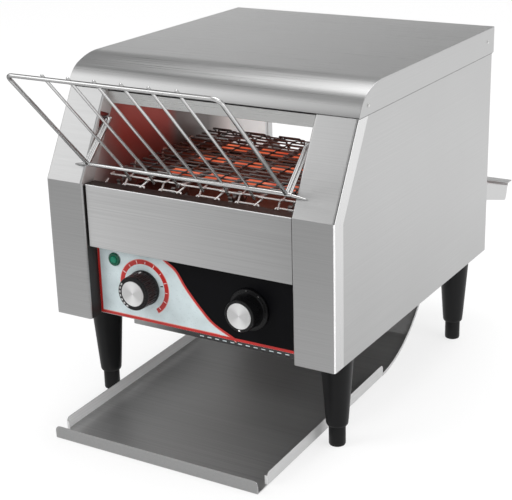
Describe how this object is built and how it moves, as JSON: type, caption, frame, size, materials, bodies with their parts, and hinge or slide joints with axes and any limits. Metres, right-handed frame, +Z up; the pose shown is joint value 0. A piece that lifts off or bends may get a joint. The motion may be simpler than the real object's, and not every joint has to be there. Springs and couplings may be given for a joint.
{
  "type": "conveyor toaster",
  "caption": "Counter-top conveyor toaster in brushed steel with wire infeed rack, wire belt, quartz heaters, front tray and rear slide.",
  "frame": {"origin": "middle of the overall box, at the foot of the tray and the feet on the counter", "axes": "-Y faces the operator, +X to the operator's right, +Z up; the belt carries bread towards +Y"},
  "size_m": [0.373, 0.6452, 0.432],
  "materials": {
    "brushed_stainless": "fine straight brush lines",
    "bright_wire": "bright drawn wire",
    "inner_steel": "plain rolled sheet",
    "machined_steel": "turned",
    "panel_print": "two-colour printed sheet",
    "quartz": "glowing frosted tube",
    "ceramic": "unglazed white",
    "bronze": "sintered",
    "motor_body": "die cast",
    "knob_plastic": "polished black",
    "spun_aluminium": "spun, fine rings",
    "lamp_green": "clear green",
    "black_plastic": "satin black",
    "grommet_rubber": "matt"
  },
  "bodies": {
    "housing": {"base_plate": "inner_steel", "side_panel_left": "brushed_stainless", "side_panel_right": "brushed_stainless", "column_left": "brushed_stainless", "column_right": "brushed_stainless", "tunnel_wall_left": "inner_steel", "tunnel_wall_right": "inner_steel", "hood": "brushed_stainless", "rear_panel": "brushed_stainless", "front_band": "brushed_stainless", "control_panel": "panel_print", "heat_shield": "inner_steel", "return_chute": "inner_steel", "upper_reflector": "brushed_stainless", "lower_reflector": "inner_steel", "upper_quartz_tubes": "quartz", "lower_quartz_tubes": "quartz", "tube_holders": "ceramic", "wire_belt": "bright_wire", "shaft_bushes": "bronze", "drive_chain": "machined_steel", "gear_motor": "motor_body", "speed_control": "black_plastic", "selector_switch": "black_plastic", "lamp_bezel": "lamp_green", "lamp_lens": "lamp_green", "cable_bush": "grommet_rubber", "leg_washers": "inner_steel", "leg_front_left": "black_plastic", "leg_front_right": "black_plastic", "leg_rear_left": "black_plastic", "leg_rear_right": "black_plastic", "casing_screws": "brushed_stainless"},
    "drive": {"drive_shaft": "machined_steel", "drive_sprockets": "machined_steel", "chain_wheel": "machined_steel"},
    "idler": {"idler_shaft": "machined_steel", "idler_sprockets": "machined_steel"},
    "motor_output": {"motor_wheel": "machined_steel"},
    "speed_dial": {"speed_spindle": "machined_steel", "speed_knob": "knob_plastic", "speed_cap": "spun_aluminium"},
    "heat_dial": {"selector_spindle": "machined_steel", "selector_knob": "knob_plastic", "selector_cap": "spun_aluminium"},
    "rack": {"infeed_rack": "bright_wire"},
    "crumb_tray": {"tray": "brushed_stainless"},
    "slide": {"rear_slide": "brushed_stainless"},
    "foot_fl": {"foot_front_left": "black_plastic"},
    "foot_fr": {"foot_front_right": "black_plastic"},
    "foot_rl": {"foot_rear_left": "black_plastic"},
    "foot_rr": {"foot_rear_right": "black_plastic"}
  },
  "joints": [
    {"name": "drive_spin", "type": "hinge", "parent": "housing", "child": "drive", "pos_m": [0, 0.04962, 0.25847], "axis": [-1, 0, 0], "continuous": true},
    {"name": "idler_spin", "type": "hinge", "parent": "housing", "child": "idler", "pos_m": [0, -0.15358, 0.25847], "axis": [-1, 0, 0], "continuous": true},
    {"name": "motor_spin", "type": "hinge", "parent": "housing", "child": "motor_output", "pos_m": [0.1505, 0.04962, 0.18227], "axis": [-1, 0, 0], "continuous": true},
    {"name": "speed_turn", "type": "hinge", "parent": "housing", "child": "speed_dial", "pos_m": [-0.07, -0.20411, 0.1605], "axis": [0, 1, 0], "range_deg": [-140, 140]},
    {"name": "heat_turn", "type": "hinge", "parent": "housing", "child": "heat_dial", "pos_m": [0.07, -0.20411, 0.1605], "axis": [0, 1, 0], "range_deg": [-90, 90]},
    {"name": "rack_tilt", "type": "hinge", "parent": "housing", "child": "rack", "pos_m": [0, -0.15371, 0.34525], "axis": [-1, 0, 0], "range_deg": [0, 40]},
    {"name": "tray_pull", "type": "slide", "parent": "housing", "child": "crumb_tray", "axis": [0, -1, 0], "range_m": [0, 0.3]},
    {"name": "slide_pull", "type": "slide", "parent": "housing", "child": "slide", "axis": [0, 0.9603, -0.279], "range_m": [0, 0.14]},
    {"name": "foot_fl_screw", "type": "slide", "parent": "housing", "child": "foot_fl", "axis": [0, 0, -1], "range_m": [0, 0.012]},
    {"name": "foot_fr_screw", "type": "slide", "parent": "housing", "child": "foot_fr", "axis": [0, 0, -1], "range_m": [0, 0.012]},
    {"name": "foot_rl_screw", "type": "slide", "parent": "housing", "child": "foot_rl", "axis": [0, 0, -1], "range_m": [0, 0.012]},
    {"name": "foot_rr_screw", "type": "slide", "parent": "housing", "child": "foot_rr", "axis": [0, 0, -1], "range_m": [0, 0.012]}
  ],
  "couplings": [
    {"joint": "idler_spin", "follows": "drive_spin", "ratio": 1},
    {"joint": "motor_spin", "follows": "drive_spin", "ratio": 1}
  ]
}
